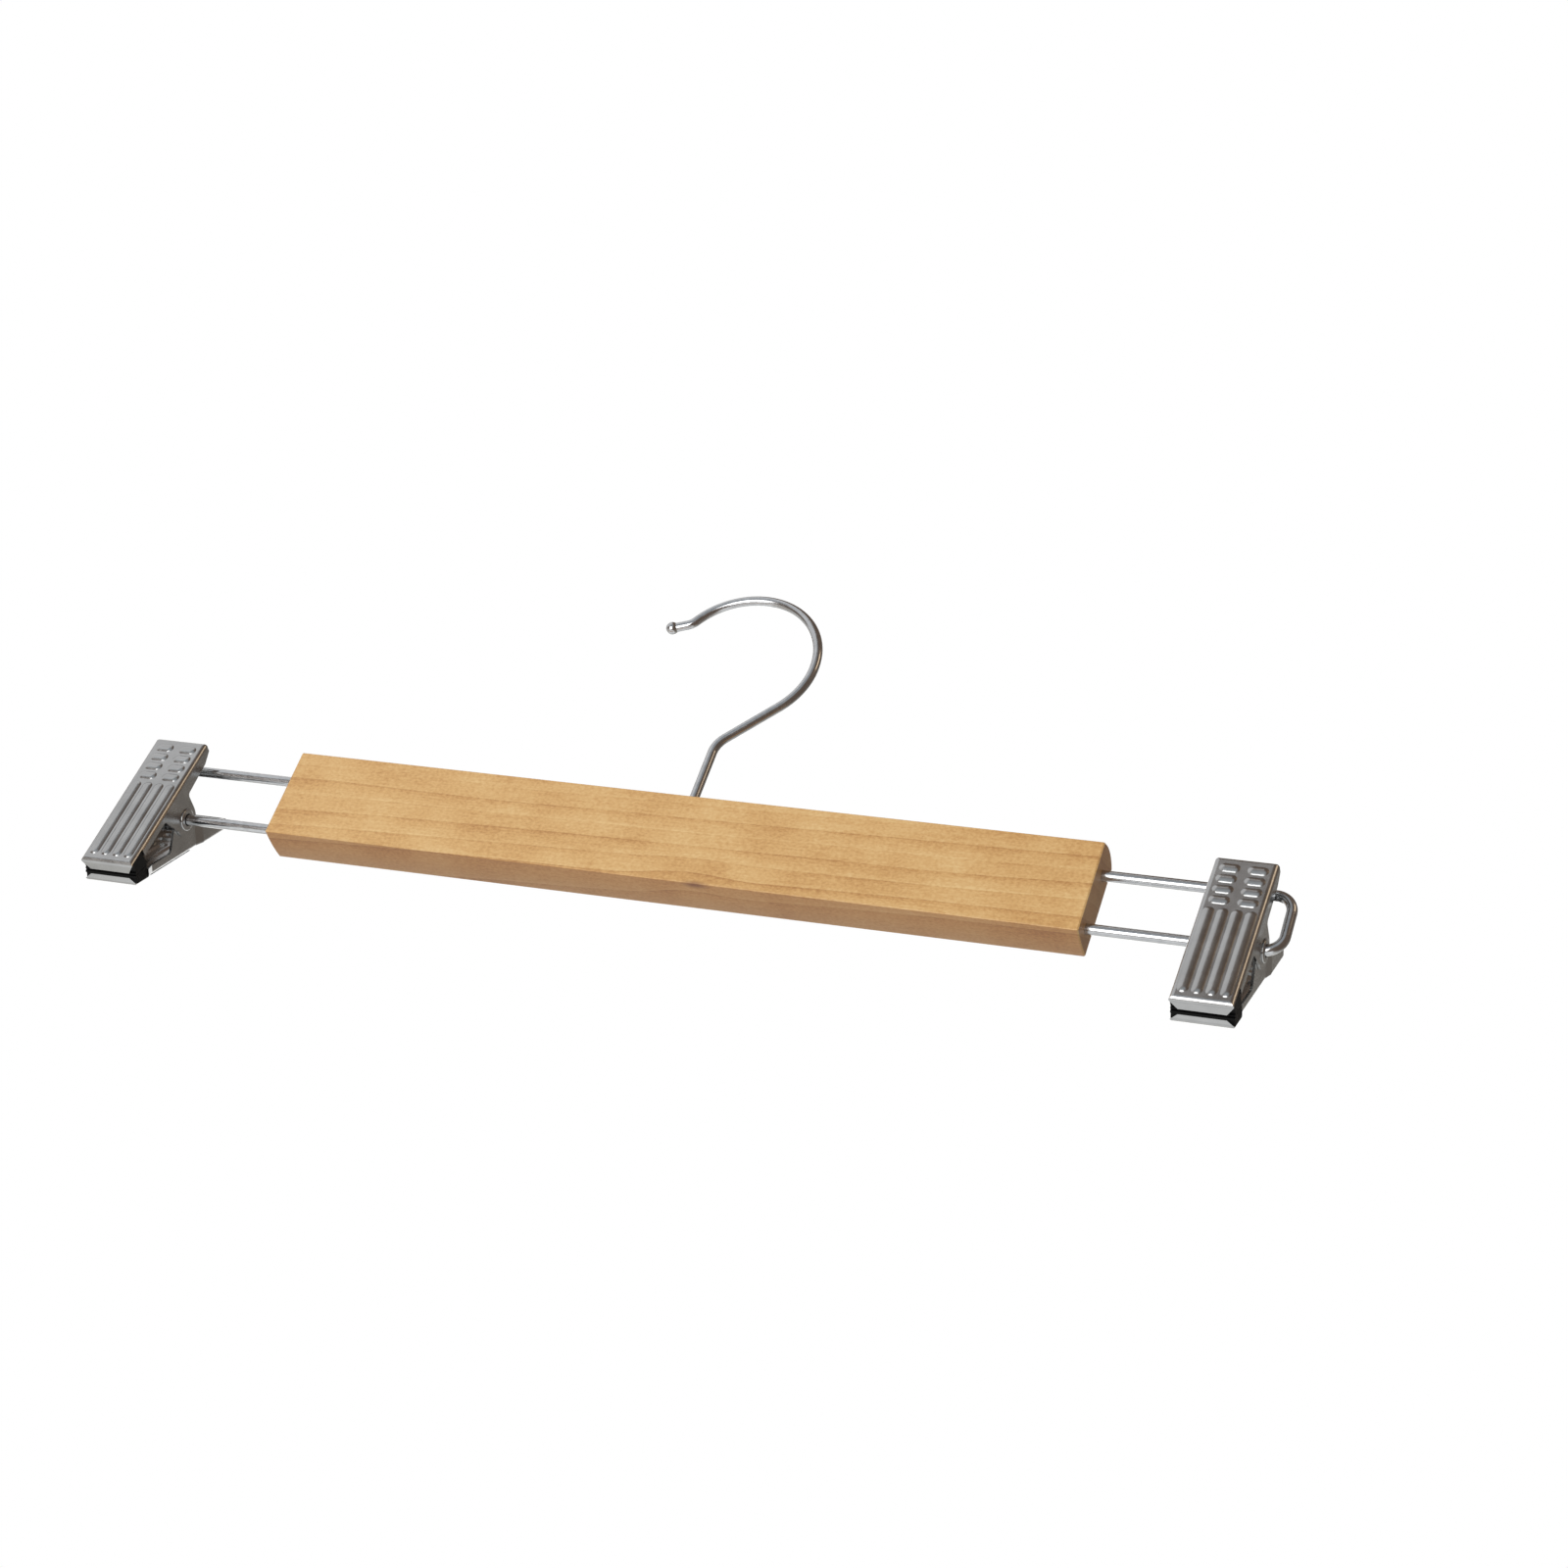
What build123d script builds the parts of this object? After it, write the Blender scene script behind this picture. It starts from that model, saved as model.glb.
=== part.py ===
from build123d import *

import os
from math import acos, atan2, ceil, cos, degrees, pi, radians, sin, sqrt

# Skirt hanger: a flat maple bar with a steel wire hook, a wire loop pressed into each end of
# the bar, and on each loop one sprung sheet-steel clip that slides along the lower wire.
# Millimetres. X runs along the bar, Z points up along the hook's stem, and -Y is the front.
# The origin is where a closet rod bears inside the hook, straight above the stem.

# Wooden bar
bar_length = 240.0
bar_height = 28.4          # height of its flat front and back faces
bar_thickness = 12.0
bar_top_crown = 1.75       # how far the rounded top edge rises at mid-thickness
bar_bottom_crown = 0.4
bar_edge_radius = 0.35

# Wire hook
hook_wire = 2.8
hook_shank_depth = 20.0    # length of shank buried in the bar
hook_point = 2.0           # length of the shank's tapered end
hook_neck = 21.1           # straight stem between the bar's top and the bend
hook_bend_radius = 7.5
hook_lean = 43.5           # degrees from the stem to the straight run
hook_run = 20.4            # straight run from the bend's corner to the round of the hook
hook_round_radius = 22.3   # centre line of the round
hook_round_angle = 189.0   # degrees of round
hook_tip_radius = 4.5      # the tip turns back outward on this radius
hook_tip_angle = 34.5      # degrees
hook_tip_run = 4.5         # straight end behind the bead
hook_ball = 3.8            # diameter of the bead on the tip
shaft_clearance = 0.05     # radial clearance of a shaft in its hole

# Wire loops at the ends of the bar
loop_wire = 3.0
loop_spacing = 17.2        # between the upper and the lower wire
loop_drop = 9.5            # lower wire below the bar's middle
loop_reach = 51.5          # from the bar's end to the loop's far wire
loop_corner_radius = 4.9
loop_leg_depth = 25.0      # length of each leg inside the bar
drill_overrun = 0.5        # depth of a blind hole past the wire in it

# Stamped clip jaws, equally wide at both ends. Round the pivot the back jaw is narrower, so
# that its ears nest inside the front jaw's.
sheet = 0.7
jaw_width = 17.0
nest_gap = 0.1             # between the front jaw's ears and the back jaw's
nest_slant = 3.0           # length over which the back jaw changes its width
jaw_length = 49.4
jaw_reach = 29.8           # from the pivot down to the tip of the jaws
jaw_tip_depth = 7.5        # over both jaws at the tip, clip closed
jaw_splay = 13.2           # degrees between one jaw and the clip's middle plane
bend_radius = 1.4          # outside radius of every fold
front_lip_depth = 3.9      # folded-in lip at the tip
back_lip_depth = 2.4
lip_corner_inset = 2.2     # how much narrower the lip's free edge is on each side
tip_relief = 6.6           # the side flanges start this far from the tip
flange_depth = 3.0         # side flange beside the gripping end
front_handle_wall = 2.4    # depth of the folded end at the finger tip
back_handle_wall = 3.5
front_waist_depth = 5.2    # front flange between the handle and its ear
front_handle_depth = 4.4
back_shoulder_depth = 8.8  # back flange where it meets its ear
handle_taper = 4.5         # the front flange tapers over this length to the handle's end
ear_radius = 5.0           # round the pivot
ear_run_in = 3.4           # the ear's lower side slopes back over this length
ear_blend = 1.2            # radius where the ear meets the flange
corner_radius = 0.9        # corners of the plate at the finger tip

# Pressed beads of each jaw plate
bead_height = 0.45
bead_slope = 0.8           # how far a bead's side leans in over its height
bead_round = 2.4           # radius over a bead's crest
rib_count = 4
rib_pitch = 3.7
rib_width = 3.1
rib_start = 2.4            # from the jaw's tip
rib_end_gap = 17.8         # from the finger tip to the ribs
bump_rows = 4
bump_columns = 2
bump_row_pitch = 3.75
bump_column_pitch = 7.5
bump_first = 3.9           # from the finger tip to the first row
bump_length = 5.6
bump_width = 3.0

# Rubber grip pads
pad_height = 6.2
pad_inset = 0.2            # on each side, from the jaw's width
grip_offset = 0.8          # the pads meet this far behind the clip's middle plane
pad_gap = 0.05             # each pad's face stops this far from where they meet
pad_seat = 0.05            # between a pad and the metal that holds it
pad_recess = 0.3           # the pad's nose stays this far inside the lip's outer face

# Hollow rivet through both jaws, which slides on the lower wire
rivet_bore_clearance = 0.3
rivet_wall = 0.5
rivet_head_radius = 3.2
rivet_head = 0.5
rivet_rim_radius = 0.4     # rounded rim of each head
rivet_play = 0.05          # between a head and the ear beside it
rivet_ride = 1.2           # how far the rivet runs on to the loop's corner at rest

# Torsion spring round the rivet
spring_wire = 1.2
spring_radius = 3.25       # centre line of its coils
spring_pitch = 1.7
spring_turns = 5           # whole turns between its legs
spring_leg_reach = 11.5    # from the pivot up along the jaw plate to the leg's end
spring_seat = 0.2          # between a leg's end and the jaw plate it pushes

# Pose of the clips
clip_tilt = 20.4           # degrees that the handles lean back from the loop's plane

# Every cut runs this far past what it cuts
overrun = 2.0

# Hook outline, worked out from the bar's top edge upward
bar_top = bar_height / 2 + bar_top_crown
lean = radians(hook_lean)
bend_z = bar_top + hook_neck
round_x = hook_run * sin(lean) - hook_round_radius * cos(lean)
round_z = bend_z + hook_run * cos(lean) + hook_round_radius * sin(lean)
hook_inner_radius = hook_round_radius - hook_wire / 2
bar_z = -(round_z + sqrt(hook_inner_radius**2 - round_x**2))

# Wire loop places
lower_wire_z = bar_z - loop_drop
upper_wire_z = lower_wire_z + loop_spacing
loop_end_x = bar_length / 2 + loop_reach
loop_inner_x = bar_length / 2 - loop_leg_depth

# Clip sizes that follow from the sheet and the rivet
splay = radians(jaw_splay)
nested_width = jaw_width - 2 * (sheet + nest_gap)
rivet_bore_radius = loop_wire / 2 + rivet_bore_clearance
rivet_radius = rivet_bore_radius + rivet_wall
ear_hole_radius = rivet_radius + shaft_clearance
rivet_half_length = jaw_width / 2 + rivet_play + rivet_head
clip_x = loop_end_x - loop_corner_radius + rivet_ride - rivet_half_length

# The pivot seen from a jaw: along the plate from the tip, and in from the plate's outer face
pivot_s = jaw_reach * cos(splay) - jaw_tip_depth / 2 * sin(splay)
pivot_d = jaw_tip_depth / 2 * cos(splay) + jaw_reach * sin(splay)


def middle_depth(s):
    """Depth from a jaw plate's outer face to the clip's middle plane, s up from the tip."""
    return (jaw_tip_depth / 2 + s * sin(splay)) / cos(splay)


# Frames. A jaw is drawn with its plate's outer face on XY, Y from the tip to the finger end
# and Z outward. Its place in the clip puts the pivot on the clip's own X axis.
front_jaw_plane = Plane(
    origin=(0, -jaw_tip_depth / 2, -jaw_reach), x_dir=(1, 0, 0), z_dir=(0, -cos(splay), -sin(splay))
)
back_jaw_plane = Plane(
    origin=(0, jaw_tip_depth / 2, -jaw_reach), x_dir=(-1, 0, 0), z_dir=(0, cos(splay), -sin(splay))
)
left_clip = Location((-clip_x, 0, lower_wire_z), (-clip_tilt, 0, 0))
right_clip = Location((clip_x, 0, lower_wire_z), (-clip_tilt, 0, 0))


def front_flange_outline():
    """Side view of the front jaw as (s, depth) corners: a waist behind the finger end."""
    waist_s = pivot_s + ear_radius
    return [
        (0, 0),
        (0, front_lip_depth),
        (tip_relief, flange_depth),
        (pivot_s - ear_radius - ear_run_in, flange_depth),
        (pivot_s - ear_radius, pivot_d),
        (waist_s, pivot_d),
        (waist_s, front_waist_depth),
        (jaw_length - handle_taper, front_handle_depth),
        (jaw_length, front_handle_wall),
        (jaw_length, 0),
    ]


def back_flange_outline():
    """Side view of the back jaw: its flange rises straight from the finger end to the ear."""
    shoulder_s = pivot_s + ear_radius
    return [
        (0, 0),
        (0, back_lip_depth),
        (tip_relief, flange_depth),
        (pivot_s - ear_radius - ear_run_in, flange_depth),
        (pivot_s - ear_radius, pivot_d),
        (shoulder_s, pivot_d),
        (shoulder_s, back_shoulder_depth),
        (jaw_length, back_handle_wall),
        (jaw_length, 0),
    ]


def make_jaw(nested, lip_depth, outline):
    """One stamped jaw: a plate with its folds, ears, tip lip and pressed beads.

    nested is the jaw's width at its ears, and outline is its side view.
    """
    depth_limit = pivot_d + ear_radius + overrun
    half = jaw_width / 2
    plan = [(half, 0), (half, jaw_length)]
    if nested < jaw_width:
        waist_end = pivot_s + ear_radius + rivet_play
        plan[1:1] = [
            (half, tip_relief),
            (nested / 2, tip_relief + nest_slant),
            (nested / 2, waist_end),
            (half, waist_end + nest_slant),
        ]
    plan += [(-x, s) for x, s in reversed(plan)]
    with BuildPart() as jaw:
        with BuildSketch(Plane.YZ) as side:
            with BuildLine():
                Polyline([(s, -depth) for s, depth in outline], close=True)
            make_face()
            concave = [v for v in side.vertices() if -pivot_d + ear_blend < v.Y < -flange_depth + ear_blend]
            concave = [v for v in concave if abs(v.X - pivot_s) < ear_radius + ear_run_in + ear_blend]
            fillet(concave, radius=ear_blend)
            with Locations((pivot_s, -pivot_d)):
                Circle(ear_radius)
        extrude(amount=jaw_width, both=True)
        with BuildSketch(Plane.XY):
            with BuildLine():
                Polyline(plan, close=True)
            make_face()
        extrude(amount=-depth_limit, mode=Mode.INTERSECT)
        plate = jaw.faces().sort_by(Axis.Z)[-1]
        fillet(plate.edges(), radius=bend_radius)
        end_corners = jaw.edges().filter_by(Axis.Z).group_by(Axis.Y)[-1]
        fillet(end_corners, radius=corner_radius)
        # Hollow out everything under the sheet
        with BuildSketch(Plane.XY.offset(-sheet)) as hollow:
            with BuildLine():
                Polyline(plan, close=True)
            make_face()
            offset(amount=-sheet, kind=Kind.INTERSECTION, mode=Mode.REPLACE)
            ends = hollow.vertices().group_by(Axis.Y)
            fillet(ends[0] + ends[-1], radius=bend_radius - sheet)
        extrude(amount=-depth_limit, mode=Mode.SUBTRACT)
        # No side flanges beside the pads, and a lip with slanted corners
        with BuildSketch(Plane.XY.offset(-sheet)):
            with Locations((0, (sheet + tip_relief) / 2)):
                Rectangle(jaw_width + overrun, tip_relief - sheet)
        extrude(amount=-depth_limit, mode=Mode.SUBTRACT)
        with BuildSketch(Plane.XZ.offset(overrun)):
            for side_sign in (-1, 1):
                with BuildLine():
                    Polyline(
                        [
                            (side_sign * (jaw_width / 2 - lip_corner_inset), -lip_depth),
                            (side_sign * jaw_width / 2, -sheet),
                            (side_sign * (jaw_width / 2 + overrun), -sheet),
                            (side_sign * (jaw_width / 2 + overrun), -lip_depth - overrun),
                            (side_sign * (jaw_width / 2 - lip_corner_inset), -lip_depth - overrun),
                        ],
                        close=True,
                    )
                make_face()
        extrude(amount=-(sheet + overrun), mode=Mode.SUBTRACT)
        # Pivot hole through both ears
        with BuildSketch(Plane.YZ.offset(-jaw_width)):
            with Locations((pivot_s, -pivot_d)):
                Circle(ear_hole_radius)
        extrude(amount=2 * jaw_width, mode=Mode.SUBTRACT)
        # Long ribs over the gripping end, and two columns of short bumps under the finger, each
        # pressed outward with a rounded crest, so that the sheet is hollow behind it
        rib_length = jaw_length - rib_end_gap - rib_start
        rib_middle = rib_start + rib_length / 2
        bump_middle = jaw_length - bump_first - (bump_rows - 1) * bump_row_pitch / 2
        for level, mode in ((0, Mode.ADD), (-sheet, Mode.SUBTRACT)):
            with BuildSketch(Plane.XY.offset(level)):
                with Locations((0, rib_middle)):
                    with GridLocations(rib_pitch, rib_pitch, rib_count, 1):
                        SlotOverall(rib_length, rib_width, rotation=90)
                with Locations((0, bump_middle)):
                    with GridLocations(bump_column_pitch, bump_row_pitch, bump_columns, bump_rows):
                        SlotOverall(bump_length, bump_width)
            extrude(amount=bead_height, taper=degrees(atan2(bead_slope, bead_height)), mode=mode)
            if mode == Mode.ADD:
                crests = jaw.faces().group_by(Axis.Z)[-1]
                fillet(crests.edges(), radius=bead_round)
    return jaw


def make_pad(lip_depth, grip_side):
    """One rubber pad, in its jaw's frame: it fills the tip behind the lip.

    grip_side is 1 where the pads meet beyond the clip's middle plane, and -1 where they meet
    short of it.
    """
    seat = sheet + pad_seat
    nose = lip_depth + pad_seat
    face_shift = (grip_side * grip_offset - pad_gap) / cos(splay)
    with BuildPart() as pad:
        with BuildSketch(Plane.YZ):
            with BuildLine():
                Polyline(
                    [
                        (seat, -seat),
                        (seat, -nose),
                        (pad_recess, -nose),
                        (pad_recess, -face_shift - middle_depth(pad_recess)),
                        (pad_height, -face_shift - middle_depth(pad_height)),
                        (pad_height, -seat),
                    ],
                    close=True,
                )
            make_face()
        extrude(amount=jaw_width / 2 - pad_inset, both=True)
    return pad


def make_rivet():
    """Hollow pivot rivet with a rolled head outside each front ear."""
    neck = jaw_width / 2 + rivet_play
    with BuildPart() as rivet:
        with BuildSketch(Plane.XY) as section:
            with BuildLine():
                Polyline(
                    [
                        (-rivet_half_length, rivet_bore_radius),
                        (rivet_half_length, rivet_bore_radius),
                        (rivet_half_length, rivet_head_radius),
                        (neck, rivet_head_radius),
                        (neck, rivet_radius),
                        (-neck, rivet_radius),
                        (-neck, rivet_head_radius),
                        (-rivet_half_length, rivet_head_radius),
                    ],
                    close=True,
                )
            make_face()
            rims = [v for v in section.vertices() if abs(v.X) > neck + rivet_play]
            rims = [v for v in rims if v.Y > rivet_radius]
            fillet(rims, radius=rivet_rim_radius)
        revolve(axis=Axis.X)
    return rivet


# Torsion spring: its path is worked out in the clip's frame
leg_s = pivot_s + spring_leg_reach
leg_d = sheet + spring_seat + spring_wire / 2
leg_y = jaw_tip_depth / 2 + leg_s * sin(splay) - leg_d * cos(splay)
leg_z = -jaw_reach + leg_s * cos(splay) + leg_d * sin(splay)
leg_distance = sqrt(leg_y**2 + leg_z**2)
start_angle = atan2(leg_z, -leg_y) + acos(spring_radius / leg_distance)
end_angle = pi - start_angle + 2 * pi * (spring_turns + 1)
coil_turn = end_angle - start_angle
rise_per_radian = spring_pitch / (2 * pi)
coil_length = rise_per_radian * coil_turn


def coil_point(angle):
    """Point of the coil's centre line at an angle about the pivot."""
    x = -coil_length / 2 + rise_per_radian * (angle - start_angle)
    return Vector(x, spring_radius * cos(angle), spring_radius * sin(angle))


def coil_tangent(angle):
    """Unit tangent of the coil's centre line."""
    return Vector(rise_per_radian, -spring_radius * sin(angle), spring_radius * cos(angle)).normalized()


def biarc_middle(start, start_tangent, end, end_tangent):
    """Junction of the two arcs that join two points with the tangents given there."""
    chord = end - start
    both = start_tangent + end_tangent
    quadratic = 2 * (1 - start_tangent.dot(end_tangent))
    linear = 2 * chord.dot(both)
    reach = (-linear + sqrt(linear**2 + 4 * quadratic * chord.dot(chord))) / (2 * quadratic)
    early = start + start_tangent * reach
    late = end - end_tangent * reach
    return (early + late) / 2, (late - early).normalized()


def make_spring():
    """Round wire wound about the rivet, with a straight leg up to each jaw plate."""
    steps = ceil(coil_turn / (pi / 2))
    angles = [start_angle + coil_turn * i / steps for i in range(steps + 1)]
    leg_length = sqrt(leg_distance**2 - spring_radius**2)
    with BuildPart() as spring:
        with BuildLine() as path:
            first, last = coil_point(angles[0]), coil_point(angles[-1])
            leg_end = first - coil_tangent(angles[0]) * leg_length
            Line(leg_end, first)
            for a, b in zip(angles, angles[1:]):
                start, end = coil_point(a), coil_point(b)
                middle, heading = biarc_middle(start, coil_tangent(a), end, coil_tangent(b))
                TangentArc(start, middle, tangent=coil_tangent(a))
                TangentArc(middle, end, tangent=heading)
            Line(last, last + coil_tangent(angles[-1]) * leg_length)
        with BuildSketch(Plane(origin=leg_end, z_dir=coil_tangent(angles[0]))):
            Circle(spring_wire / 2)
        sweep(path=path.wires()[0])
    return spring


def spring_gap():
    """Least gap between turns, measured between points a turn or more apart."""
    count = 60 * (spring_turns + 1)
    angles = [start_angle + coil_turn * i / count for i in range(count + 1)]
    points = [coil_point(a) for a in angles]
    least = min(
        (points[i] - points[j]).length
        for i in range(len(points))
        for j in range(i)
        if angles[i] - angles[j] > pi
    )
    return least - spring_wire


def keep(node, name):
    """Label a finished piece and write its file."""
    node.part.label = name
    export_step(node.part, f"parts/{name}.step")
    print(f"{name}: {node.part.volume:.1f} mm3")


os.makedirs("parts", exist_ok=True)

# Bar, with blind holes for the hook's shank and the loops' legs
with BuildPart() as bar:
    with BuildSketch(Plane.YZ.offset(-bar_length / 2)) as bar_section:
        with BuildLine():
            half_thickness = bar_thickness / 2
            edge_top = bar_z + bar_height / 2
            edge_bottom = bar_z - bar_height / 2
            Line((-half_thickness, edge_bottom), (-half_thickness, edge_top))
            ThreePointArc(
                (-half_thickness, edge_top), (0, edge_top + bar_top_crown), (half_thickness, edge_top)
            )
            Line((half_thickness, edge_top), (half_thickness, edge_bottom))
            ThreePointArc(
                (half_thickness, edge_bottom),
                (0, edge_bottom - bar_bottom_crown),
                (-half_thickness, edge_bottom),
            )
        make_face()
        fillet(bar_section.vertices(), radius=bar_edge_radius)
    extrude(amount=bar_length)
    chamfer(bar.faces().filter_by(Axis.X).edges(), length=bar_edge_radius)
    with BuildSketch(Plane.XY.offset(bar_z + bar_top - hook_shank_depth - drill_overrun)):
        Circle(hook_wire / 2 + shaft_clearance)
    extrude(amount=hook_shank_depth + drill_overrun + overrun, mode=Mode.SUBTRACT)
    for end in (-1, 1):
        with BuildSketch(Plane.YZ.offset(end * (loop_inner_x - drill_overrun))):
            with Locations((0, upper_wire_z), (0, lower_wire_z)):
                Circle(loop_wire / 2 + shaft_clearance)
        extrude(amount=end * (loop_leg_depth + drill_overrun + overrun), mode=Mode.SUBTRACT)
keep(bar, "bar")

# Hook: shank, stem, bend, straight run, round, and a tip that turns out to a small bead
with BuildPart() as hook:
    shank_bottom = bar_z + bar_top - hook_shank_depth
    bend_back = hook_bend_radius * sin(lean / 2) / cos(lean / 2)
    with BuildLine(Plane.XZ) as hook_path:
        stem = Line((0, shank_bottom + hook_point), (0, bar_z + bend_z - bend_back))
        bend = JernArc(stem @ 1, stem % 1, hook_bend_radius, -hook_lean)
        run = Line(bend @ 1, bend @ 1 + (bend % 1) * (hook_run - bend_back))
        hook_round = JernArc(run @ 1, run % 1, hook_round_radius, hook_round_angle)
        tip_bend = JernArc(hook_round @ 1, hook_round % 1, hook_tip_radius, -hook_tip_angle)
        tip = Line(tip_bend @ 1, tip_bend @ 1 + (tip_bend % 1) * hook_tip_run)
    with BuildSketch(Plane(origin=stem @ 0, z_dir=stem % 0)):
        Circle(hook_wire / 2)
    sweep(path=hook_path.wires()[0])
    with BuildSketch(Plane.XY.offset(shank_bottom + hook_point)):
        Circle(hook_wire / 2)
    extrude(amount=-hook_point, taper=degrees(atan2(hook_wire / 4, hook_point)))
    with Locations(tip @ 1):
        Sphere(hook_ball / 2)
keep(hook, "hook")

# Wire loops: one bent wire at each end, its two legs set into the bar
for side, sign in (("left", -1), ("right", 1)):
    with BuildPart() as loop:
        with BuildLine(Plane.XZ) as loop_path:
            FilletPolyline(
                (sign * loop_inner_x, lower_wire_z),
                (sign * loop_end_x, lower_wire_z),
                (sign * loop_end_x, upper_wire_z),
                (sign * loop_inner_x, upper_wire_z),
                radius=loop_corner_radius,
            )
        with BuildSketch(Plane.YZ.offset(sign * loop_inner_x)):
            with Locations((0, lower_wire_z)):
                Circle(loop_wire / 2)
        sweep(path=loop_path.wires()[0])
    keep(loop, f"{side}_wire_loop")

# Clips: each piece is made once in the clip's frame and set on both loops
pieces = {
    "front_jaw": (make_jaw(jaw_width, front_lip_depth, front_flange_outline()), front_jaw_plane.location),
    "back_jaw": (make_jaw(nested_width, back_lip_depth, back_flange_outline()), back_jaw_plane.location),
    "front_pad": (make_pad(front_lip_depth, 1), front_jaw_plane.location),
    "back_pad": (make_pad(back_lip_depth, -1), back_jaw_plane.location),
    "pivot_rivet": (make_rivet(), Location()),
    "torsion_spring": (make_spring(), Location()),
}
for side, clip_place in (("left", left_clip), ("right", right_clip)):
    for name, (piece, place) in pieces.items():
        with BuildPart() as placed:
            with Locations(clip_place * place):
                add(piece.part)
        keep(placed, f"{side}_{name}")

print(f"rod seat to the bar's middle: {-bar_z:.2f} mm, clip pivot at z {lower_wire_z:.2f}")
print(f"clip middle at x {clip_x:.2f}, overall length {2 * loop_end_x + loop_wire:.1f} mm")
print(f"least gap between spring turns: {spring_gap():.2f} mm")
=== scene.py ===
# %% [markdown]
# # A wooden skirt hanger
# This file dresses a finished CAD model of a skirt hanger: a flat maple bar with a wire hook, and at
# each end a wire loop with a sprung sheet-steel clip. The shapes come from the CAD model and stay as
# they are, except for the two springs, which have to bend and are drawn anew here. The rest of the
# file makes the finishes, the light, the floor and the camera. All lengths are in metres, and +Z
# points up along the hook's stem.

# %% Load the fixed frame
import math

import bpy
from mathutils import Matrix, Vector


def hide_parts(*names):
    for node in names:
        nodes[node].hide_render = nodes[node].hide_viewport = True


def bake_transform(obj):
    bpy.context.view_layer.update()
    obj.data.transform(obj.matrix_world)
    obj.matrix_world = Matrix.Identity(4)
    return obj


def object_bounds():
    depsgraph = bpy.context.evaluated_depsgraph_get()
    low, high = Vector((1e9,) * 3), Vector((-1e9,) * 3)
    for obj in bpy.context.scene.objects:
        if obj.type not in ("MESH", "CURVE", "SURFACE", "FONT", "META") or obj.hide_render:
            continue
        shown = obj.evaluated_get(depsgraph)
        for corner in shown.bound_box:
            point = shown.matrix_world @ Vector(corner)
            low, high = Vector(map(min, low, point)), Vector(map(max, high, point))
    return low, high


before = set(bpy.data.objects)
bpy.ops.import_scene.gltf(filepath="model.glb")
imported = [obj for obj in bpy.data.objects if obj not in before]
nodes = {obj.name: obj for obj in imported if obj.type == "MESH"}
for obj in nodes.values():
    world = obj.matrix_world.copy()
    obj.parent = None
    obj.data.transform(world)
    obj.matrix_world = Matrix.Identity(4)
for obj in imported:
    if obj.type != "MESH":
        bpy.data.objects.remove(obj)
cad_low, cad_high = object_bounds()
mm = 0.001
sides = ("left", "right")
print("CAD nodes:", len(nodes), "size in mm:", [round(v / mm, 1) for v in cad_high - cad_low])

# %% [markdown]
# A finish is easier to judge when its colour is written the way a paint chart or a picture shows it,
# as an sRGB hex value. Shaders work in linear light, so one function turns the first into the second.

# %% Colours
def linear(hex_colour):
    """Linear RGBA for an sRGB colour such as "D9AE73"."""
    channels = [int(hex_colour[i : i + 2], 16) / 255 for i in (0, 2, 4)]
    return [c / 12.92 if c <= 0.04045 else ((c + 0.055) / 1.055) ** 2.4 for c in channels] + [1.0]


print("Mid grey 808080 is", round(linear("808080")[0], 3), "in linear light")

# %% [markdown]
# Every finish is a small graph of nodes. It could be drawn by hand in the shader editor, but then
# nobody could read its reasons. One function adds a node, sets its options and fills its inputs, each
# with a value, with another node's output, or with a whole node, which stands for its first output.

# %% One function that adds a node
def add_node(tree, kind, inputs=None, stops=None, **settings):
    """Add a node. inputs go by a socket's name or number, stops are (position, sRGB hex)."""
    node = tree.nodes.new("ShaderNode" + kind)
    for name, value in settings.items():
        setattr(node, name, value)
    for key, value in (inputs or {}).items():
        if isinstance(value, bpy.types.Node):
            value = value.outputs[0]
        if isinstance(value, bpy.types.NodeSocket):
            tree.links.new(value, node.inputs[key])
        else:
            node.inputs[key].default_value = value
    if stops:
        elements = node.color_ramp.elements
        while len(elements) < len(stops):
            elements.new(1.0)
        for element, (position, hex_colour) in zip(elements, stops):
            element.position = position
            element.color = linear(hex_colour)
    return node


mix_a, mix_b, mix_result = 6, 7, 2      # the colour sockets of a Mix node
print("A Mix node takes its colours at sockets", mix_a, "and", mix_b)

# %% [markdown]
# ## Maple bar
# The bar is planed hard maple with a thin satin lacquer. Its colour is a light honey. Growth rings run
# along it as faint lines: each year's wood is some 4.4 mm wide and darkens a little to a thin dark
# line, and the next starts pale. A picture of wood could be wrapped round the bar, but it would not
# join up at the edges. Real wood is solid, so the pattern is too: rings are shells round the middle of
# the tree, which lies below and behind the bar. The long faces cut the shells into lines, and the ends
# cut them into arcs, all from the same graph.

# %% An empty material
def new_finish(name):
    """A material with an empty graph, and the graph."""
    material = bpy.data.materials.new(name)
    material.use_nodes = True
    material.node_tree.nodes.clear()
    return material, material.node_tree


maple, tree = new_finish("satin_lacquered_maple")
place = add_node(tree, "TexCoord").outputs["Object"]    # the point on the hanger, in metres
print("New finish:", maple.name)

# %% [markdown]
# Most patterns below are soft grains of some real size: fibres, pores, haze, tooth. Blender's noise
# has grains about one unit wide, so dividing the place by a size first gives grains of that size. The
# first use is a slow pattern that makes the rings wander as they run round the tree's middle.

# %% Grains of a real size
def grains(tree, place, size, detail=2.0, roughness=0.5):
    """A pattern from 0 to 1 whose grains have the given size along X, Y and Z."""
    scaled = add_node(tree, "Mapping", {"Vector": place, "Scale": tuple(1 / s for s in size)})
    noise = {"Vector": scaled, "Scale": 1.0, "Detail": detail, "Roughness": roughness}
    return add_node(tree, "TexNoise", noise)


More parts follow.
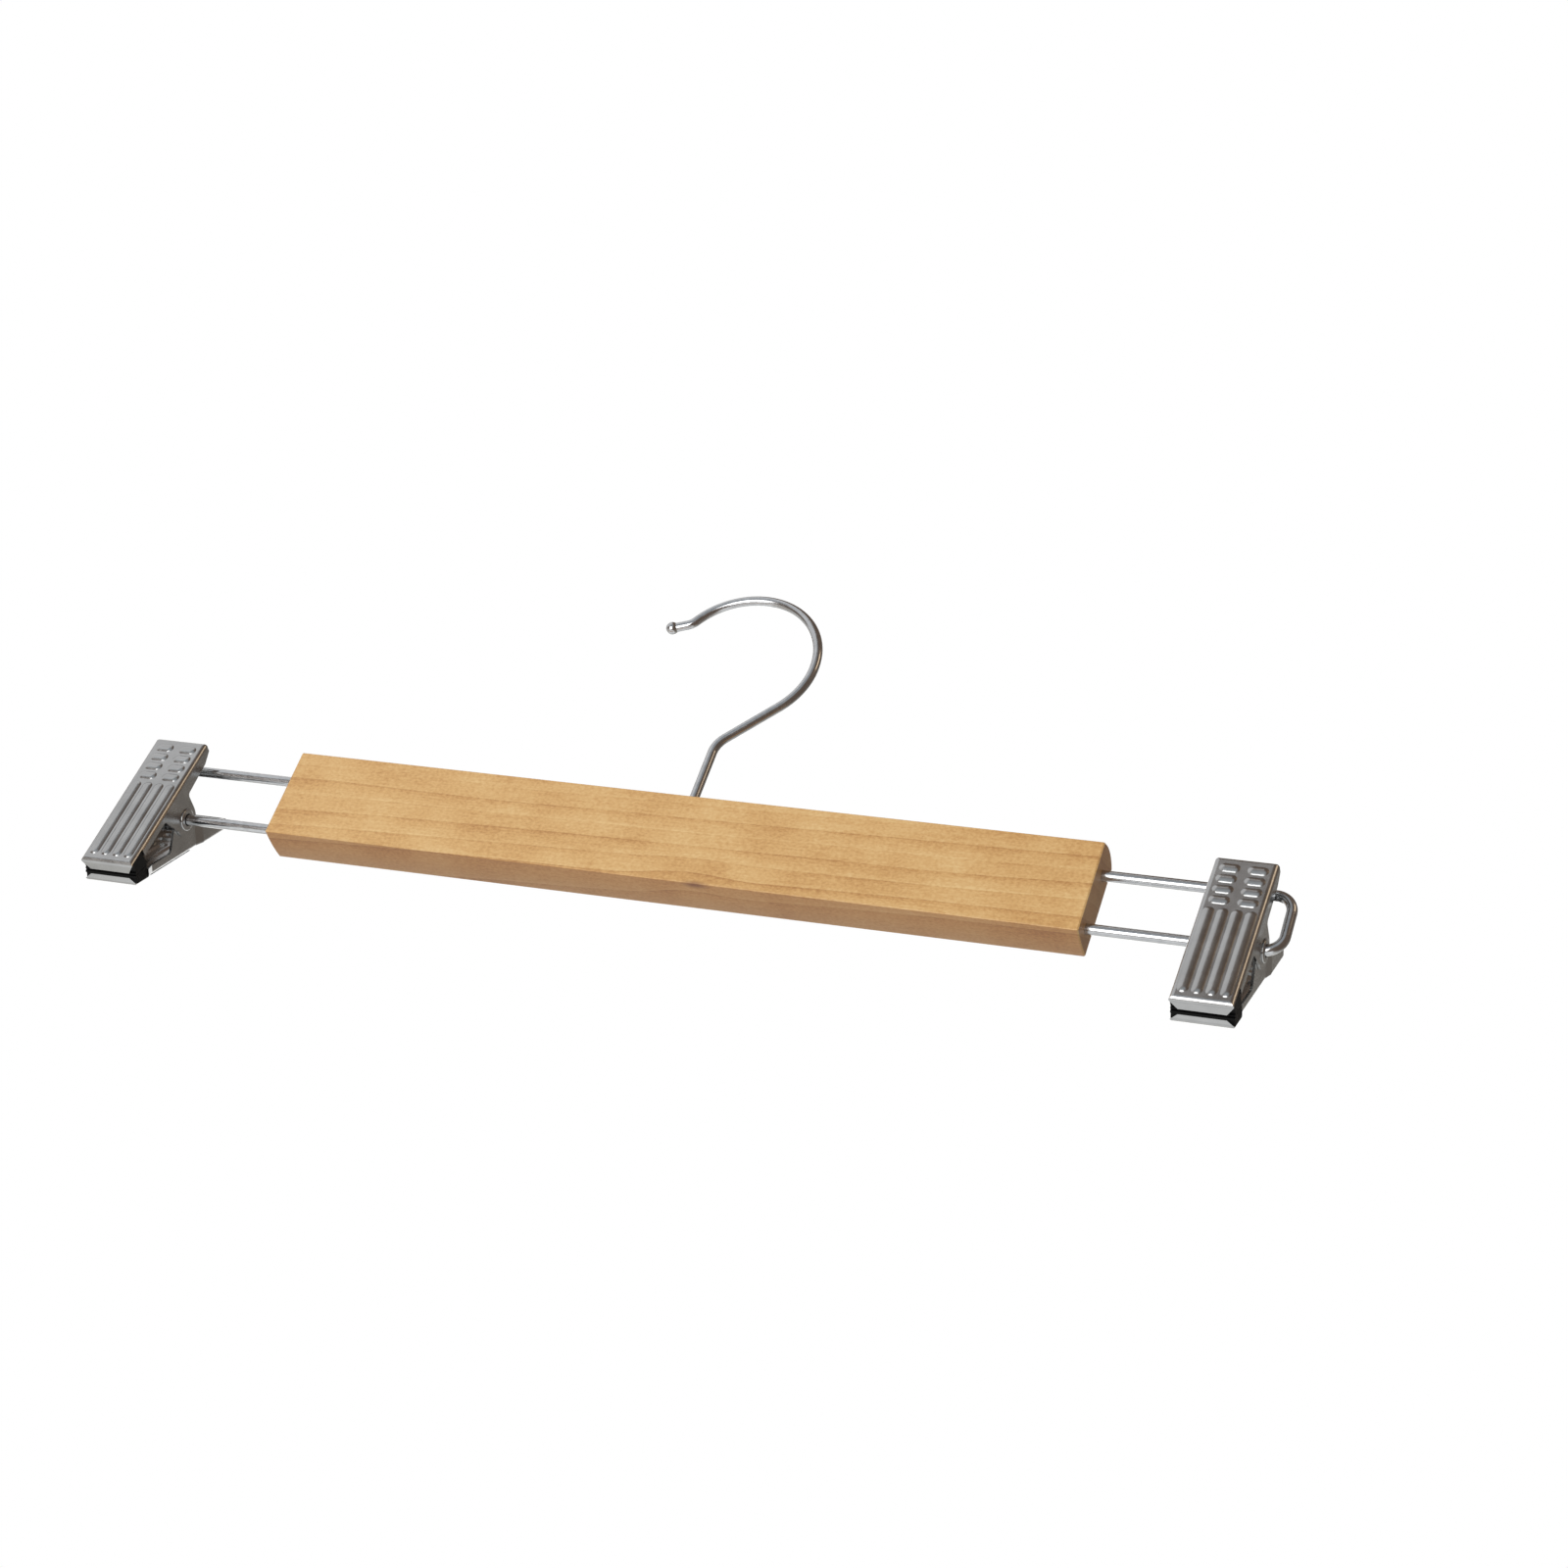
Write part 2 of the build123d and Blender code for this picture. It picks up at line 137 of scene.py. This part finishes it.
bar_middle = Vector((0, 0, -87.99 * mm))
heart = bar_middle + Vector((0, 30 * mm, -70 * mm))     # middle of the tree
grain_drift = math.radians(1.0)                         # the grain runs slightly across the bar
wander_size = (130 * mm, 24 * mm, 24 * mm)

from_heart = add_node(tree, "VectorMath", {0: place, 1: heart}, operation="SUBTRACT")
drift = (0, grain_drift, grain_drift)
along = add_node(tree, "Mapping", {"Vector": from_heart, "Rotation": drift})
across = add_node(tree, "VectorMath", {0: along, 1: (0, 1, 1)}, operation="MULTIPLY")
radius = add_node(tree, "VectorMath", {0: across}, operation="LENGTH").outputs["Value"]
wander = grains(tree, along, wander_size, detail=1.0, roughness=0.4)
print("The tree's middle lies", round((heart - bar_middle).length / mm), "mm from the bar's")

# %% [markdown]
# A pin knot sits at the bar's lower front edge, just right of the middle. The rings bulge round it, the
# wood beside it is browner, and the knot itself is a small reddish mark on the edge. It could be
# painted on, but the rings round it have to bend as well. So a soft-edged blob of space shifts the
# rings and browns the wood, and a smaller one is the mark.

# %% A pin knot
knot_place = bar_middle + Vector((9 * mm, -6 * mm, -13.6 * mm))
bulge_reach = Vector((22 * mm, 14 * mm, 14 * mm))
mark_place = bar_middle + Vector((12.5 * mm, -5.4 * mm, -14.2 * mm))
mark_reach = Vector((5.5 * mm, 2.0 * mm, 1.5 * mm))
knot_shift = -1.5 * mm      # a smaller radius there moves the lines away from the tree's middle


def blob(tree, place, centre, reach):
    """1 at the centre, falling smoothly to 0 at the reach along each axis."""
    offset = add_node(tree, "VectorMath", {0: place, 1: centre}, operation="SUBTRACT")
    scaled = add_node(tree, "VectorMath", {0: offset, 1: reach}, operation="DIVIDE")
    distance = add_node(tree, "VectorMath", {0: scaled}, operation="LENGTH").outputs["Value"]
    fall = {"Value": distance, "From Min": 1.0, "From Max": 0.0}
    return add_node(tree, "MapRange", fall, interpolation_type="SMOOTHSTEP")


bulge = blob(tree, place, knot_place, bulge_reach)
mark = blob(tree, place, mark_place, mark_reach)
shifted = add_node(tree, "Math", {0: bulge, 1: knot_shift, 2: radius}, operation="MULTIPLY_ADD")
print("The knot moves the rings by", round(abs(knot_shift) / mm, 1), "mm")

# %% [markdown]
# Dividing the distance from the tree's middle by the ring spacing gives a number whose whole part
# counts the years, and whose fraction runs from 0 in spring to 1 in autumn. Powers of that fraction
# give a slow darkening and a thin dark line at the year's end, and a power of what it lacks to 1 gives
# a thin pale line at its start. Some years grow stronger lines, so a random number for each year
# scales them.

# %% Growth rings
ring_spacing = 4.4 * mm
ring_wander = 6.0 * mm      # how far a ring strays from a true circle
weakest_ring = 0.2
strongest_ring = 1.1

strayed = add_node(tree, "Math", {0: wander, 1: ring_wander, 2: shifted}, operation="MULTIPLY_ADD")
years = add_node(tree, "Math", {0: strayed, 1: ring_spacing}, operation="DIVIDE")
season = add_node(tree, "Math", {0: years}, operation="FRACT")
spring = add_node(tree, "Math", {0: 1.0, 1: season}, operation="SUBTRACT")
ring_tone = 0.0
# A slow darkening, a thin dark line at the year's end, and a thin pale line at its start
for part, sharpness, share in ((season, 2.5, 1.0), (season, 12.0, 0.6), (spring, 9.0, -0.9)):
    band = add_node(tree, "Math", {0: part, 1: sharpness}, operation="POWER")
    ring_tone = add_node(tree, "Math", {0: band, 1: share, 2: ring_tone}, operation="MULTIPLY_ADD")
year = add_node(tree, "Math", {0: years}, operation="FLOOR")
chance = add_node(tree, "TexWhiteNoise", {"W": year}, noise_dimensions="1D")
strength = add_node(
    tree, "Math", {0: chance, 1: strongest_ring - weakest_ring, 2: weakest_ring}, operation="MULTIPLY_ADD"
)
ring_tone = add_node(tree, "Math", {0: ring_tone, 1: strength}, operation="MULTIPLY")
print("A ring every", round(ring_spacing / mm, 1), "mm")

# %% [markdown]
# Between the rings, fibres show as fine streaks along the bar, pores as short specks, and the figure as
# broad soft patches where the fibres lean. Each is a pattern of its own grain size. They are added up
# to one tone, which picks a colour from dark to light. Maple is even, so the whole range is narrow.

# %% Colour of the maple
figure_size = (16 * mm, 22 * mm, 10 * mm)
fibre_size = (22 * mm, 0.6 * mm, 0.6 * mm)      # real fibres are far finer: drawn as coarse as they need
speck_size = (1.0 * mm, 0.6 * mm, 0.6 * mm)     # to show, and so are the pores
maple_colours = [(0.25, "B27F47"), (0.40, "C8985B"), (0.52, "D5A96C"), (0.72, "E1BD83")]
knot_colour = "7E4E32"
knot_cover = 0.8

fibres = grains(tree, along, fibre_size, roughness=0.55)
specks = grains(tree, along, speck_size)
figure = grains(tree, along, figure_size)
tone = 0.0
# What each pattern adds to the tone, where a lower tone is darker
for pattern, weight in (
    (fibres, 0.20),
    (figure, 0.38),
    (specks, 0.46),
    (ring_tone, -0.12),
    (bulge, -0.05),
):
    tone = add_node(tree, "Math", {0: pattern, 1: weight, 2: tone}, operation="MULTIPLY_ADD")
colour = add_node(tree, "ValToRGB", {"Fac": tone}, maple_colours)
knot_share = add_node(tree, "Math", {0: mark, 1: knot_cover}, operation="MULTIPLY")
marked = {0: knot_share, mix_a: colour, mix_b: linear(knot_colour)}
colour = add_node(tree, "Mix", marked, data_type="RGBA").outputs[mix_result]
print("Maple runs from", maple_colours[0][1], "to", maple_colours[-1][1])

# %% [markdown]
# Where the saw cuts across the fibres, at the bar's ends, wood drinks in more light and lacquer and
# looks darker. Its top and bottom edges are a little browner too. The surface's direction tells which
# is which, and a tint multiplies the colour there.

# %% Ends and edges of the bar
side_tints = {"X": "C8B6A6", "Z": "ECDCD8"}
starts_at, full_at = 0.75, 0.95     # how squarely a surface faces the axis

facing = add_node(tree, "SeparateXYZ", {0: add_node(tree, "TexCoord").outputs["Normal"]}).outputs
for axis, tint in side_tints.items():
    away = add_node(tree, "Math", {0: facing[axis]}, operation="ABSOLUTE")
    cut = add_node(tree, "MapRange", {"Value": away, "From Min": starts_at, "From Max": full_at})
    product = {0: 1.0, mix_a: colour, mix_b: linear(tint)}
    tinted = add_node(tree, "Mix", product, data_type="RGBA", blend_type="MULTIPLY").outputs[mix_result]
    parts = {0: cut, mix_a: colour, mix_b: tinted}
    colour = add_node(tree, "Mix", parts, data_type="RGBA").outputs[mix_result]
print("Tinted sides:", side_tints)

# %% [markdown]
# Lacquer lies on wood as a thin clear film, so the shader has a weak coat over a rough base. Its film
# sinks into the fibres and pores, which a bump of a few hundredths of a millimetre shows. Wood and
# lacquer both have an IOR near 1.5.

# %% Lacquer, and the bar's material
pore_depth = 0.05 * mm
wood_roughness = 0.36
fibre_roughness = 0.16      # what the fibres add to it

grain_height = add_node(tree, "Math", {0: fibres, 1: specks}, operation="ADD")
grain_bump = {"Strength": 0.2, "Distance": pore_depth, "Height": grain_height}
streaked = {0: fibres, 1: fibre_roughness, 2: wood_roughness}
lacquered = add_node(tree, "BsdfPrincipled", {
    "Base Color": colour,
    "Roughness": add_node(tree, "Math", streaked, operation="MULTIPLY_ADD"),
    "Normal": add_node(tree, "Bump", grain_bump),
    "IOR": 1.5,
    "Coat Weight": 0.25,
    "Coat Roughness": 0.28,
})
add_node(tree, "OutputMaterial", {"Surface": lacquered})


def dress(material, names):
    """Give CAD nodes a finish in place of the one that they were packed with."""
    for name in names:
        nodes[name].data.materials.clear()
        nodes[name].data.materials.append(material)
    print(material.name, "is on", len(names), "nodes")


dress(maple, ["bar"])

# %% [markdown]
# ## Nickel-plated wire
# The hook, the two loops and the springs are steel wire with a bright nickel plate. Drawn wire is very
# smooth along its length, so it mirrors the room in long clean stripes, which the plate softens and
# bends a little. The stripes could be painted on, but they would stay put when the hanger turns, so the
# finish is a plain metal and the room makes the stripes. The plate's waves are a bump, and its haze
# changes both colour and roughness. The plate itself is nearly neutral, and the room warms it.

# %% Wire
plate_wave = 6 * mm
plate_wave_depth = 0.05 * mm
haze_patch = 1.6 * mm
wire_colours = [(0.3, "BFC1C3"), (0.7, "CFD1D3")]
wire_roughness = 0.15
haze_roughness = 0.06       # what the haze adds to it

bright_wire, tree = new_finish("bright_nickel_plated_wire")
place = add_node(tree, "TexCoord").outputs["Object"]
plate_waves = grains(tree, place, [plate_wave] * 3, detail=1.0)
plate_haze = grains(tree, place, [haze_patch] * 3)
wave_bump = {"Strength": 0.3, "Distance": plate_wave_depth, "Height": plate_waves}
hazed = {0: plate_haze, 1: haze_roughness, 2: wire_roughness}
plated = add_node(tree, "BsdfPrincipled", {
    "Base Color": add_node(tree, "ValToRGB", {"Fac": plate_haze}, wire_colours),
    "Metallic": 1.0,
    "Roughness": add_node(tree, "Math", hazed, operation="MULTIPLY_ADD"),
    "Normal": add_node(tree, "Bump", wave_bump),
})
add_node(tree, "OutputMaterial", {"Surface": plated})
dress(bright_wire, ["hook"] + [f"{side}_wire_loop" for side in sides])

# %% [markdown]
# ## Stamped clips
# The jaws and the rivet are thin steel sheet, stamped, folded and then nickel plated. Rolled sheet is
# less smooth than wire: it has a fine tooth, the press leaves it slightly wavy round each bead, and
# fingers leave smudges, so its reflections are softer. The beads and folds are in the CAD model. Only
# what is shallower than they are is a bump here, one for the waves and one for the tooth on top of it.

# %% Sheet
press_wave = 5 * mm
press_wave_depth = 0.08 * mm
tooth = 0.35 * mm           # the real tooth is finer: drawn as coarse as it needs to show
tooth_depth = 0.01 * mm
smudge_patch = 7 * mm
sheet_colours = [(0.3, "B3B4B4"), (0.7, "C1C2C2")]
sheet_roughness = 0.16
smudge_roughness = 0.16     # what the smudges add to it

plated_sheet, tree = new_finish("nickel_plated_stamped_sheet")
place = add_node(tree, "TexCoord").outputs["Object"]
press_waves = grains(tree, place, [press_wave] * 3, detail=1.0)
sheet_tooth = grains(tree, place, [tooth] * 3, detail=3.0, roughness=0.6)
smudges = grains(tree, place, [smudge_patch] * 3, detail=3.0, roughness=0.6)
press_bump = {"Strength": 0.4, "Distance": press_wave_depth, "Height": press_waves}
wavy = add_node(tree, "Bump", press_bump)
tooth_bump = {"Strength": 0.08, "Distance": tooth_depth, "Height": sheet_tooth, "Normal": wavy}
smudged = {0: smudges, 1: smudge_roughness, 2: sheet_roughness}
stamped = add_node(tree, "BsdfPrincipled", {
    "Base Color": add_node(tree, "ValToRGB", {"Fac": smudges}, sheet_colours),
    "Metallic": 1.0,
    "Roughness": add_node(tree, "Math", smudged, operation="MULTIPLY_ADD"),
    "Normal": add_node(tree, "Bump", tooth_bump),
})
add_node(tree, "OutputMaterial", {"Surface": stamped})
clip_metal = ("front_jaw", "back_jaw", "pivot_rivet")
dress(plated_sheet, [f"{side}_{piece}" for side in sides for piece in clip_metal])

# %% [markdown]
# The grip pads are moulded black rubber. Rubber is matt, with a fine grain from its mould, and soot
# makes it so black that only its sheen shows its shape. A plain black would look like a hole, so the
# grain moves the colour, the roughness and the surface a little.

# %% Rubber
mould_grain = 0.3 * mm      # the real grain is finer: drawn as coarse as it needs to show
grain_depth = 0.03 * mm
rubber_colours = [(0.3, "040405"), (0.7, "0A0A0B")]
rubber_roughness = 0.42
grain_roughness = 0.2       # what the grain adds to it

rubber, tree = new_finish("black_moulded_rubber")
place = add_node(tree, "TexCoord").outputs["Object"]
grain = grains(tree, place, [mould_grain] * 3, detail=3.0, roughness=0.6)
grained = {0: grain, 1: grain_roughness, 2: rubber_roughness}
moulded = add_node(tree, "BsdfPrincipled", {
    "Base Color": add_node(tree, "ValToRGB", {"Fac": grain}, rubber_colours),
    "Roughness": add_node(tree, "Math", grained, operation="MULTIPLY_ADD"),
    "Normal": add_node(tree, "Bump", {"Strength": 0.3, "Distance": grain_depth, "Height": grain}),
    "IOR": 1.5,
    "Specular IOR Level": 0.15,
})
add_node(tree, "OutputMaterial", {"Surface": moulded})
dress(rubber, [f"{side}_{piece}" for side in sides for piece in ("front_pad", "back_pad")])

# %% [markdown]
# ## Torsion springs
# Each spring is one wire: a straight leg up the front jaw, five and a bit turns round the rivet, and a
# straight leg up the back jaw. When the jaws open, the legs follow their jaws and the coil winds up.
# The CAD spring can't do that, because a rigid piece follows one jaw only. A spring made here stands
# for it. The coil has the CAD spring's sizes, but it is drawn in short straight steps, and each leg runs
# on in line with the step next to it. So a leg's end lies about 0.9 mm from the CAD spring's, and 0.3 mm
# inside its jaw's sheet. That is a known fault: the CAD spring's legs follow the coil's own tangent, and
# clear the sheet.

# %% The spring's path
coil_radius = 3.25 * mm
coil_pitch = 1.7 * mm
coil_start = math.radians(218.227)      # where the front leg meets the coil, seen along the rivet
coil_turns = 5
leg_length = 14.209 * mm
coil_turn = math.pi - 2 * coil_start + math.tau * (coil_turns + 1)
coil_rise = coil_pitch / math.tau
coil_length = coil_rise * coil_turn
coil_step = math.radians(7.5)


def coil_point(angle):
    """Point of the coil at an angle about the rivet, which lies along X."""
    x = coil_rise * (angle - coil_start) - coil_length / 2
    return Vector((x, coil_radius * math.cos(angle), coil_radius * math.sin(angle)))


def spring_path():
    """Points of the whole wire, from one leg's end to the other's."""
    count = round(coil_turn / coil_step)
    coil = [coil_point(coil_start + coil_turn * i / count) for i in range(count + 1)]
    front_leg = coil[0] - (coil[1] - coil[0]).normalized() * leg_length
    back_leg = coil[-1] + (coil[-1] - coil[-2]).normalized() * leg_length
    return [front_leg] + coil + [back_leg]


print("The coil turns", round(coil_turn / math.tau, 2), "times over", round(coil_length / mm, 1), "mm")

# %% [markdown]
# A curve with a round bevel draws the wire, and it is turned into a mesh.

# %% The springs
spring_wire = 1.2 * mm
clip_lean = math.radians(20.4)
pivot_z = -97.489 * mm
pivot_x = 158.75 * mm


def make_spring(side, x):
    """A round wire along the spring's path, set on its clip."""
    curve = bpy.data.curves.new(f"{side}_spring_path", "CURVE")
    curve.dimensions = "3D"
    curve.bevel_depth = spring_wire / 2
    curve.bevel_resolution = 4
    curve.use_fill_caps = True
    points = spring_path()
    spline = curve.splines.new("POLY")
    spline.points.add(len(points) - 1)
    for point, place in zip(spline.points, points):
        point.co = (*place, 1)
    drawn = bpy.data.objects.new(f"{side}_spring_drawing", curve)
    mesh = bpy.data.meshes.new_from_object(drawn)
    bpy.data.objects.remove(drawn)
    mesh.transform(Matrix.Translation((x, 0, pivot_z)) @ Matrix.Rotation(-clip_lean, 4, "X"))
    mesh.materials.clear()
    mesh.materials.append(bright_wire)
    mesh.shade_smooth()
    spring = bpy.data.objects.new(f"{side}_wound_spring", mesh)
    bpy.context.scene.collection.objects.link(spring)
    return spring


for side, x in (("left", -pivot_x), ("right", pivot_x)):
    wound = make_spring(side, x)
    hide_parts(f"{side}_torsion_spring")
    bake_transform(wound)
    print(wound.name, "has", len(wound.data.polygons), "faces")

# %% [markdown]
# ## Studio
# The hanger hangs in a plain white studio, well above a pale floor. A large soft light stands in front
# and below, a wide weak one high on the left, a small warm one high on the right and one behind. Each
# faces the bar. A single picture of a studio could light it all, but lamps can be moved one by one. A
# lamp's energy is worked out from how bright its surface looks, so a larger one doesn't look brighter.

# %% Soft lights
lamp_distance = 1.5


def softbox(name, toward, size, brightness, tint="FFFFFF"):
    """A square light that faces the bar. brightness is that of its surface, where 1 is white."""
    light = bpy.data.lights.new(name, "AREA")
    light.shape = "SQUARE"
    light.size = size
    light.energy = brightness * math.pi * size**2
    light.color = linear(tint)[:3]
    lamp = bpy.data.objects.new(name, light)
    bpy.context.scene.collection.objects.link(lamp)
    toward = Vector(toward).normalized()
    lamp.location = bar_middle + toward * lamp_distance
    lamp.rotation_euler = toward.to_track_quat("Z", "Y").to_euler()
    print(name, "at", [round(v, 2) for v in lamp.location], "gives", round(light.energy, 1), "W")


softbox("front_softbox", toward=(-0.14, -0.86, -0.48), size=1.15, brightness=3.7)
softbox("left_softbox", toward=(-0.72, -0.33, 0.60), size=1.9, brightness=0.66, tint="F4FAFF")
softbox("right_lamp", toward=(0.70, -0.25, 0.68), size=0.5, brightness=1.3, tint="FFE2BE")
softbox("back_softbox", toward=(-0.35, 0.85, 0.40), size=1.6, brightness=1.15)

# %% [markdown]
# Bright metal shows its room, so the room is part of the look. A plain white room would be simplest,
# but metal in it loses its stripes. Rays that bounce off a shiny surface meet a warm grey room instead,
# which is paler in front, behind, and low on the left, each a soft-edged part of the sphere of
# directions. A wire then has both bright and dark stripes, as a real one has.

# %% The room that metal shows
world = bpy.data.worlds.new("studio")
bpy.context.scene.world = world
world.use_nodes = True
tree = world.node_tree
tree.nodes.clear()
direction = add_node(tree, "TexCoord").outputs["Generated"]
room_colour = linear("6C5D52")
# Each wall: its name, the way to its middle, how far its edge and its core reach in degrees, its colour
for wall, toward, edge, core, wall_colour in (
    ("behind", (0, 1, 0), 78, 26, "88847E"),
    ("front", (-0.10, -0.97, 0.24), 32, 20, "A9ADB1"),
    ("low and left", (-0.40, 0.60, -0.70), 78, 53, "DAD8D4"),
):
    middle = Vector(toward).normalized()
    compared = add_node(tree, "VectorMath", {0: direction, 1: middle}, operation="DOT_PRODUCT")
    share = add_node(tree, "MapRange", {
        "Value": compared.outputs["Value"],
        "From Min": math.cos(math.radians(edge)),
        "From Max": math.cos(math.radians(core)),
    })
    parts = {0: share, mix_a: room_colour, mix_b: linear(wall_colour)}
    room_colour = add_node(tree, "Mix", parts, data_type="RGBA").outputs[mix_result]
    print("The room is", wall_colour, wall)

# %% [markdown]
# A world can answer each kind of ray in its own way. One colour for all rays would be simpler, but then
# a white background would also flood the metal. So reflections get the room, matt surfaces get an even
# white fill, and the camera gets plain white, also through anything clear.

# %% Background
fill_strength = 0.45
room = add_node(tree, "Background", {"Color": room_colour, "Strength": 1.0})
fill = add_node(tree, "Background", {"Color": linear("FFFFFF"), "Strength": fill_strength})
white = add_node(tree, "Background", {"Color": linear("FFFFFF"), "Strength": 1.0})
ray = add_node(tree, "LightPath").outputs
lit = add_node(tree, "MixShader", {0: ray["Is Glossy Ray"], 1: fill, 2: room})
looked_at = add_node(
    tree, "Math", {0: ray["Is Camera Ray"], 1: ray["Is Transmission Ray"]}, operation="MAXIMUM"
)
shown = add_node(tree, "MixShader", {0: looked_at, 1: lit, 2: white})
add_node(tree, "OutputWorld", {"Surface": shown})
print("World:", len(tree.nodes), "nodes")

# %% [markdown]
# The floor takes the hanger's soft shadow in its middle. A plain white plane would end in a hard edge
# in a view from above. This one is mixed with a white glow, a bit under half in its middle and wholly
# at its edges, so that no edge shows. The camera and reflections see the glow, but matt surfaces get
# no light from it.

# %% Floor
floor_drop = 0.70           # below the hanger's lowest point
floor_width = 1.3
floor_back = 0.35           # its middle lies this far behind the hanger
least_glow = 0.45           # share of the glow in the middle
any_height = 1              # the floor is flat, so the middle's reach along Z doesn't matter
floor_z = cad_low.z - floor_drop
half = floor_width / 2

floor_mesh = bpy.data.meshes.new("floor")
corner_signs = ((-1, -1), (1, -1), (1, 1), (-1, 1))
corners = [(x * half, y * half + floor_back, floor_z) for x, y in corner_signs]
floor_mesh.from_pydata(corners, [], [(0, 1, 2, 3)])
floor = bpy.data.objects.new("floor", floor_mesh)
bpy.context.scene.collection.objects.link(floor)

floor_paint, tree = new_finish("matt_white_floor")
place = add_node(tree, "TexCoord").outputs["Object"]
paint = {"Base Color": linear("EDEDED"), "Roughness": 0.9, "Specular IOR Level": 0.1}
matt = add_node(tree, "BsdfPrincipled", paint)
ray = add_node(tree, "LightPath").outputs
seen = ray["Is Camera Ray"]
for other in ("Is Glossy Ray", "Is Transmission Ray"):
    seen = add_node(tree, "Math", {0: seen, 1: ray[other]}, operation="MAXIMUM")
glow = add_node(tree, "Emission", {"Color": linear("FFFFFF"), "Strength": seen})
centre = blob(tree, place, (0, floor_back, floor_z), (half, half, any_height))
glow_share = add_node(tree, "Math", {0: centre, 1: least_glow - 1, 2: 1.0}, operation="MULTIPLY_ADD")
faded = add_node(tree, "MixShader", {0: glow_share, 1: matt, 2: glow})
add_node(tree, "OutputMaterial", {"Surface": faded})
floor_mesh.materials.append(floor_paint)
print("Floor", floor_width, "m wide at z", round(floor_z, 3))

# %% [markdown]
# ## Camera
# The picture is taken from in front, to the right and below, with the camera rolled, through a long
# lens. The camera could be nudged by eye until the picture fits. Here its place follows from three
# angles, the distance, and the pixel where the bar's middle lands, so each can be changed on its own.

# %% Camera
picture_side = 1600             # pixels
focal_pixels = 3422             # the lens's focal length, in pixels of the picture
film_side = 36                  # millimetres
view_azimuth = math.radians(25.563)
view_elevation = math.radians(-32.836)
view_roll = math.radians(20.754)
view_distance = 917.1 * mm
middle_pixel = (687.627, 867.046)       # where the bar's middle lands

back = Vector((
    math.sin(view_azimuth) * math.cos(view_elevation),
    -math.cos(view_azimuth) * math.cos(view_elevation),
    math.sin(view_elevation),
))
level_right = (-back).cross(Vector((0, 0, 1))).normalized()
level_down = (-back).cross(level_right)
right = level_right * math.cos(view_roll) - level_down * math.sin(view_roll)
down = level_right * math.sin(view_roll) + level_down * math.cos(view_roll)
shift_x, shift_y = [(p - picture_side / 2) * view_distance / focal_pixels for p in middle_pixel]
camera_data = bpy.data.cameras.new("camera")
camera_data.sensor_width = film_side
camera_data.lens = film_side * focal_pixels / picture_side
camera = bpy.data.objects.new("camera", camera_data)
camera.matrix_world = Matrix((right, -down, back)).transposed().to_4x4()
camera.location = bar_middle - right * shift_x - down * shift_y + back * view_distance
bpy.context.scene.collection.objects.link(camera)
bpy.context.scene.camera = camera
bpy.context.scene.view_settings.view_transform = "Standard"
print("Camera at", [round(v, 3) for v in camera.location], "with a", round(camera_data.lens, 1), "mm lens")
